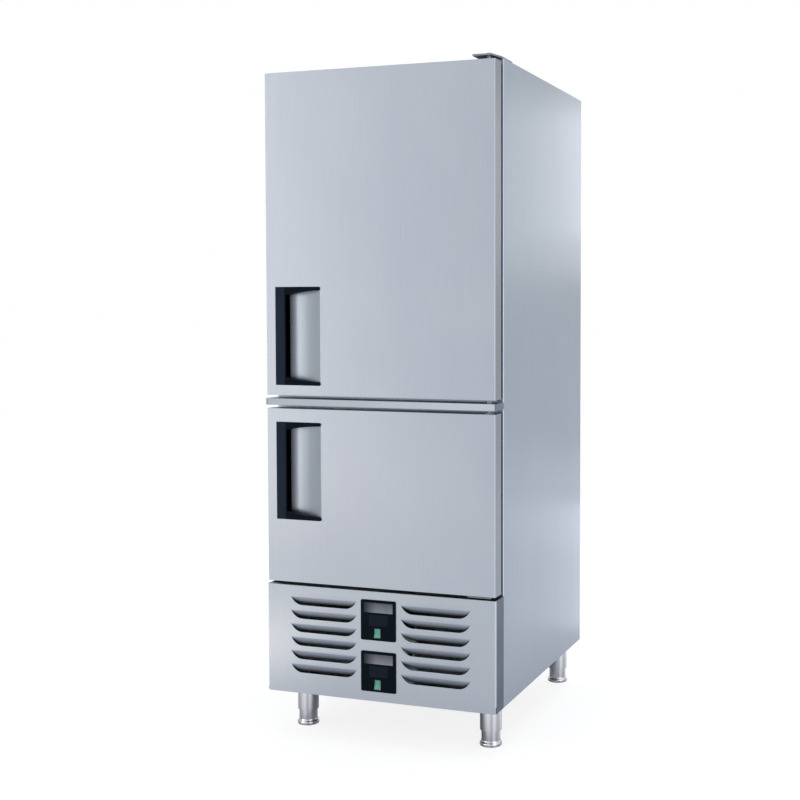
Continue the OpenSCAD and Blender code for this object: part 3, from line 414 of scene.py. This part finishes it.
def faded(name, dark, light):
    """Printed film, paler towards its right and lower side, alike on both bezels."""
    s = Shader(name)
    fine = s.noise((1200, 1200, 1200), detail=3)
    across = s.spread(s.axis("X"), 0, 1, *LABEL_ACROSS)
    height = s.math("MODULO", s.math("SUBTRACT", s.axis("Z"), LABEL_LOW), BEZEL_STEP)
    uneven = s.spread(s.noise((260, 4, 20)), 0.9, 1.0)
    upward = s.math("MULTIPLY", s.spread(height, 1, 0.42, *LABEL_UP), uneven)
    s.link(s.mix(s.math("MULTIPLY", across, upward), dark, light), "Base Color")
    s.link(s.spread(fine, 0.30, 0.38), "Roughness")
    s.set(Specular_IOR_Level=0.2)
    s.relief(fine, 0.1, 0.00005, 0.0003)
    return s.material


steel = linear(168, 175, 186)
finish = {
    # Fold tones: painted shade on the sides and a painted highlight on the roundings
    "casing_steel": brushed("casing steel", linear(154, 164, 176), 0.36, change=0.03, fold_light_tones=(1.0, 1.48)),
    "door_steel": brushed("door steel", steel, 0.36, change=0.03, fold_light_tones=(0.60, 1.14)),
    # The panel's depth tone is painted shade inside its pressed recesses
    "panel_steel": brushed("panel steel", linear(168, 175, 185), 0.38, change=0.03, depth=(-0.439, 0.82),
                           # The louvres tone is painted shade where the sheet dips towards the louvres
                           fold_light_tones=(0.8, 1.35), louvres=0.94),
    "rail_steel": brushed("rail steel", linear(160, 167, 178), 0.36, "X", across=RAIL_REFLECTION_TONES),
    "frame_steel": brushed("frame steel", steel, 0.34),
    "scoop_steel": brushed("scoop steel", linear(161, 170, 182), 0.40, across=SCOOP_REFLECTION_TONES),
    "liner_steel": brushed("liner steel", linear(208, 212, 218), 0.42, anisotropy=0.0),
    "cover_steel": brushed("cover steel", linear(202, 206, 212), 0.40, "X", anisotropy=0.0),
    "back_steel": galvanised("galvanised steel", linear(176, 180, 186), 0.42),
    "leg_steel": brushed("leg steel", linear(200, 201, 206), 0.16, "Z", change=0.04, anisotropy=0.0,
                         around=LEG_REFLECTION_TONES),
    "hinge_steel": brushed("hinge steel", linear(132, 136, 144), 0.36, "Y", anisotropy=0.0),
    "runner_steel": brushed("runner steel", linear(198, 202, 208), 0.34, "Y", anisotropy=0.0),
    "shelf_steel": brushed("shelf wire", linear(214, 216, 220), 0.20, "Y", anisotropy=0.0, edge=None),
    "foam": foam("wall foam", linear(232, 224, 196)),
    "gasket_rubber": moulded("gasket rubber", linear(30, 32, 37), 0.62, specular=0.15),
    # The grip's colours: a lit front, shaded ends and a shaded pocket, all painted
    "grip_plastic": grip_with_painted_light("grip plastic", linear(31, 40, 54), linear(5, 14, 28), linear(1, 2, 9)),
    "bush_plastic": moulded("bush plastic", linear(186, 188, 190), 0.42),
    # The cheeks are painted paler higher up, as lit
    "cheek_plastic": moulded("cheek plastic", linear(90, 99, 113), 0.48, specular=0.25, upward=CHEEK_LIGHT_TONES),
    "bezel_plastic": moulded("bezel plastic", linear(4, 12, 23), 0.42, specular=0.05),
    "window_plastic": moulded("window plastic", linear(10, 21, 34), 0.16, edge=0.0003, specular=0.10),
    "label_plastic": faded("label plastic", linear(30, 35, 46), linear(134, 137, 146)),
    "rocker_green": moulded("rocker green", linear(94, 166, 146), 0.30, change=0.06),
    "fan_plastic": moulded("fan plastic", linear(38, 39, 42), 0.45),
    "motor_black": moulded("motor paint", linear(44, 44, 47), 0.40),
    "can_black": moulded("can paint", linear(24, 24, 26), 0.28, coat=0.5),
    "grommet_rubber": moulded("grommet rubber", linear(34, 34, 36), 0.70),
    "coil_fins": finned("coil fins", linear(204, 208, 212)),
    "shroud_steel": moulded("shroud paint", linear(52, 53, 56), 0.42),
    # Darker than new copper: partly dull oxide, partly painted shade in the machine compartment
    "copper": brushed("copper pipe", linear(150, 92, 66), 0.30, "Z", anisotropy=0.0, edge=None, clouds=0.10),
    "box_plastic": moulded("box plastic", linear(92, 94, 98), 0.50),
    "tray_plastic": moulded("tray plastic", linear(62, 64, 68), 0.52),
}
for name, piece in nodes.items():
    piece.data.materials.clear()
    piece.data.materials.append(finish[slot_of[name]])


# Small fasteners. An outline gives the share of the radius that it reaches at an angle.

def round_at(angle):
    return 1.0


def hexagon_at(angle):
    return math.cos(math.pi / 6) / math.cos((angle + math.pi / 6) % (math.pi / 3) - math.pi / 6)


def cross_at(angle):
    """A cross recess, narrow between its four arms."""
    half_arm = 0.22
    from_arm = abs((angle + math.pi / 4) % (math.pi / 2) - math.pi / 4)
    return min(1.0, half_arm / max(math.sin(from_arm), 0.001))


# Rings of a head from its base to its top and into its recess: outline, share of radius, share of height
HEADS = {
    "screw": ((round_at, 1, 0), (round_at, 1, 0.35), (round_at, 0.86, 0.8), (round_at, 0.64, 1),
              (cross_at, 0.56, 1), (cross_at, 0.46, 0.35)),
    "rivet": ((round_at, 1, 0), (round_at, 0.96, 0.35), (round_at, 0.8, 0.72), (round_at, 0.5, 0.95),
              (round_at, 0.26, 1), (round_at, 0.2, 0.55)),
    "bolt": ((round_at, 1.3, 0), (round_at, 1.3, 0.2), (round_at, 1.24, 0.26), (hexagon_at, 1, 0.26),
             (hexagon_at, 1, 0.88), (hexagon_at, 0.9, 1)),
    "nut": ((round_at, 1.4, 0), (round_at, 1.4, 0.18), (hexagon_at, 1, 0.18), (hexagon_at, 1, 0.74),
            (hexagon_at, 0.9, 0.8), (round_at, 0.52, 0.8), (round_at, 0.52, 0.96), (round_at, 0.44, 1)),
}


def fasteners(name, body, style, radius, height, spots, facing):
    """Like heads in one mesh. Each stands on its spot, faces outwards and is turned on from the last."""
    sides = 24
    turn_step = 0.9
    points = []
    faces = []
    turn_out = Vector(facing).to_track_quat("Z", "Y").to_matrix()
    for number, spot in enumerate(spots):
        turned = number * turn_step
        first = len(points)
        for outline, wide, high in HEADS[style]:
            for i in range(sides):
                angle = 2 * math.pi * i / sides
                reach = radius * wide * outline(angle)
                x = reach * math.cos(angle + turned)
                y = reach * math.sin(angle + turned)
                points.append(Vector(spot) + turn_out @ Vector((x, y, height * high)))
        rings = len(HEADS[style])
        for ring in range(rings - 1):
            for i in range(sides):
                a = first + ring * sides + i
                b = first + ring * sides + (i + 1) % sides
                faces.append((a, b, b + sides, a + sides))
        faces.append(tuple(first + (rings - 1) * sides + i for i in range(sides)))
        faces.append(tuple(first + i for i in reversed(range(sides))))
    data = bpy.data.meshes.new(name)
    data.from_pydata(points, [], faces)
    data.shade_smooth()
    data.set_sharp_from_angle(angle=math.radians(35))
    data.materials.append(screw_steel)
    piece = bpy.data.objects.new(name, data)
    scene.collection.objects.link(piece)
    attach(piece, body)


screw_steel = brushed("screw steel", linear(150, 153, 160), 0.30, "Z", anisotropy=0.0, edge=None)
BACK = (0, 1, 0)
FRONT = (0, -1, 0)
UP = (0, 0, 1)
LEFT_AND_RIGHT = (-1, 1)


def node_high(node, axis):
    """Where a node's box ends along an axis: 0 to 2 for X, Y and Z."""
    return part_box(node)[1][axis]


# Rear grille: a row of screws up each side and three more along its top
GRILLE_TOP_ROW = 0.466
grille_face = node_high("rear_grille", 1)
grille_heights = (0.158, 0.262, 0.366, GRILLE_TOP_ROW)
grille_spots = [(side * 0.362, grille_face, z) for side in LEFT_AND_RIGHT for z in grille_heights]
grille_spots += [(x, grille_face, GRILLE_TOP_ROW) for x in (-0.18, 0, 0.18)]
fasteners("rear_grille_screws", "cabinet", "screw", radius=0.0042, height=0.0022,
          spots=grille_spots, facing=BACK)

# Back sheet: a row of rivets up each side, and five along its top and its bottom
RIVET_LOW = 0.495
RIVET_HIGH = 2.03
RIVETS_UP = 11
RIVET_STEP = (RIVET_HIGH - RIVET_LOW) / (RIVETS_UP - 1)
back_face = node_high("back_panel", 1)
rivet_heights = [RIVET_LOW + i * RIVET_STEP for i in range(RIVETS_UP)]
rivet_spots = [(side * 0.364, back_face, z) for side in LEFT_AND_RIGHT for z in rivet_heights]
rivet_spots += [(x * 0.12, back_face, z) for x in (-2, -1, 0, 1, 2) for z in (RIVET_LOW, RIVET_HIGH)]
fasteners("back_panel_rivets", "cabinet", "rivet", radius=0.0040, height=0.0015,
          spots=rivet_spots, facing=BACK)

# Evaporator covers: a screw near each corner
cover_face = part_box("evaporator_covers")[0][1]
cover_spots = [(x, cover_face, z) for x in (-0.258, 0.258) for z in (0.6645, 0.9405, 1.6845, 1.9605)]
fasteners("evaporator_cover_screws", "cabinet", "screw", radius=0.0045, height=0.0024,
          spots=cover_spots, facing=FRONT)

# Top hinge: two bolts through its plate, which the head of the hinge pin stands above
PIN_HEAD = 0.003
plate_top = node_high("hinge_plates", 2) - PIN_HEAD
bolt_spots = [(0.330, y, plate_top) for y in (-0.345, -0.305)]
fasteners("top_hinge_bolts", "cabinet", "bolt", radius=0.0055, height=0.0028,
          spots=bolt_spots, facing=UP)

# Compressors: a nut on the grommet of each foot
grommet_top = node_high("grommets", 2)
foot_spots = [(x, y) for x in (0.100, 0.268) for y in (-0.114, 0.014)]
nut_spots = [(side * x, y, grommet_top) for side in LEFT_AND_RIGHT for x, y in foot_spots]
fasteners("compressor_nuts", "cabinet", "nut", radius=0.0060, height=0.0080,
          spots=nut_spots, facing=UP)


# Studio: a pale floor, a soft surround and large lamps

def seen_share(tree, share, mirrored=1.0):
    """The share for camera, glossy and transmission rays, and 0 for the rest.
    Mirrored is how much of it glossy rays see."""
    path = tree.nodes.new("ShaderNodeLightPath")
    glossy = reckoned(tree, "MULTIPLY", path.outputs["Is Glossy Ray"], mirrored)
    direct = reckoned(tree, "MAXIMUM", path.outputs["Is Camera Ray"], path.outputs["Is Transmission Ray"])
    return reckoned(tree, "MULTIPLY", reckoned(tree, "MAXIMUM", direct, glossy), share)


def clear_of_cabinet(tree):
    """0 on the floor under the cabinet, where it stands in its own shadow, rising to 1 away from it."""
    split = tree.nodes.new("ShaderNodeSeparateXYZ")
    tree.links.new(tree.nodes.new("ShaderNodeTexCoord").outputs["Object"], split.inputs[0])
    half_width = 0.375
    half_depth = 0.45
    # In half sizes of the cabinet, measured from its middle
    shadow_ends = (0.95, 2.3)
    across = reckoned(tree, "DIVIDE", reckoned(tree, "ABSOLUTE", split.outputs["X"]), half_width)
    along = reckoned(tree, "DIVIDE", reckoned(tree, "ABSOLUTE", split.outputs["Y"]), half_depth)
    spread = tree.nodes.new("ShaderNodeMapRange")
    spread.inputs["From Min"].default_value = shadow_ends[0]
    spread.inputs["From Max"].default_value = shadow_ends[1]
    tree.links.new(reckoned(tree, "MAXIMUM", across, along), spread.inputs["Value"])
    return reckoned(tree, "POWER", spread.outputs[0], 0.7)


def stage_floor():
    data = bpy.data.meshes.new("floor")
    count, radius = 96, 14.0
    angles = [i * 2 * math.pi / count for i in range(count)]
    rim = [(radius * math.cos(angle), radius * math.sin(angle), 0) for angle in angles]
    data.from_pydata(rim, [], [list(range(count))])
    floor = bpy.data.objects.new("floor", data)
    scene.collection.objects.link(floor)
    material = bpy.data.materials.new("studio floor")
    material.use_nodes = True
    tree = material.node_tree
    tree.nodes.clear()
    out = tree.nodes.new("ShaderNodeOutputMaterial")
    matt = tree.nodes.new("ShaderNodeBsdfDiffuse")
    matt.inputs["Color"].default_value = (0.86, 0.86, 0.87, 1)
    white = tree.nodes.new("ShaderNodeEmission")
    white.inputs["Strength"].default_value = 1.15
    mix = tree.nodes.new("ShaderNodeMixShader")
    share_white = 0.72
    tree.links.new(seen_share(tree, share_white, clear_of_cabinet(tree)), mix.inputs["Fac"])
    tree.links.new(matt.outputs[0], mix.inputs[1])
    tree.links.new(white.outputs[0], mix.inputs[2])
    tree.links.new(mix.outputs[0], out.inputs["Surface"])
    data.materials.append(material)


def surround():
    """White as seen, also in metal. For soft light, a grey room, darker level with the eye."""
    world = bpy.data.worlds.new("surround")
    scene.world = world
    world.use_nodes = True
    tree = world.node_tree
    tree.nodes.clear()
    out = tree.nodes.new("ShaderNodeOutputWorld")
    seen = tree.nodes.new("ShaderNodeBackground")
    seen.inputs["Color"].default_value = (1, 1, 1, 1)
    room = tree.nodes.new("ShaderNodeBackground")
    place = tree.nodes.new("ShaderNodeTexCoord")
    split = tree.nodes.new("ShaderNodeSeparateXYZ")
    tree.links.new(place.outputs["Generated"], split.inputs[0])
    ramp = tree.nodes.new("ShaderNodeValToRGB")
    ramp.color_ramp.elements[0].position = 0.0
    ramp.color_ramp.elements[0].color = (0.62, 0.64, 0.67, 1)
    ramp.color_ramp.elements[1].position = 1.0
    ramp.color_ramp.elements[1].color = (0.80, 0.82, 0.86, 1)
    middle = ramp.color_ramp.elements.new(0.5)
    middle.color = (0.50, 0.53, 0.57, 1)
    height = tree.nodes.new("ShaderNodeMapRange")
    height.inputs["From Min"].default_value = -1
    height.inputs["From Max"].default_value = 1
    tree.links.new(split.outputs["Z"], height.inputs["Value"])
    tree.links.new(height.outputs[0], ramp.inputs["Fac"])
    tree.links.new(ramp.outputs["Color"], room.inputs["Color"])
    mix = tree.nodes.new("ShaderNodeMixShader")
    tree.links.new(seen_share(tree, 1.0), mix.inputs["Fac"])
    tree.links.new(room.outputs[0], mix.inputs[1])
    tree.links.new(seen.outputs[0], mix.inputs[2])
    tree.links.new(mix.outputs[0], out.inputs["Surface"])


def lamp(name, place, target, width, height, strength, colour=(1, 1, 1)):
    """A soft rectangular lamp. Its strength is its brightness as seen in a mirror, where 1 is white."""
    data = bpy.data.lights.new(name, "AREA")
    data.shape = "RECTANGLE"
    data.size = width
    data.size_y = height
    data.energy = strength * math.pi * width * height
    data.color = colour
    light = bpy.data.objects.new(name, data)
    light.location = place
    light.visible_camera = False
    light.rotation_euler = (Vector(target) - Vector(place)).to_track_quat("-Z", "Y").to_euler()
    scene.collection.objects.link(light)


stage_floor()
surround()
lamp("left softbox", (-3.2, -3.5, 1.75), (0, 0, 1.3), 2.0, 3.4, 1.45, (1, 0.94, 0.85))
lamp("low left softbox", (-1.7, -2.9, 0.32), (-0.3, -0.45, 0.5), 1.4, 0.5, 0.75, (1, 0.82, 0.60))
lamp("overhead softbox", (0.2, -0.8, 4.6), (0, 0, 0), 3.0, 3.0, 0.8)
lamp("low left strip", (-0.80, -1.02, 0.10), (-0.32, -0.448, 0.22), 0.55, 0.18, 1.4, (1, 0.88, 0.72))
lamp("right softbox", (2.1, -1.35, 1.15), (0.375, -0.448, 1.1), 1.4, 2.3, 0.6)
lamp("high rear softbox", (0.15, 2.9, 2.0), (0.375, 0.3, 1.6), 1.8, 1.0, 2.2, (1, 0.95, 0.88))
lamp("low rear softbox", (0.15, 2.9, 0.25), (0.375, 0.3, 0.5), 1.8, 0.5, 0.9)
lamp("high rear strip", (0.54, 1.03, 1.85), (0.375, 0.35, 1.75), 0.22, 0.5, 0.6)
lamp("low rear strip", (0.54, 1.03, 0.28), (0.375, 0.35, 0.40), 0.22, 0.5, 0.8)
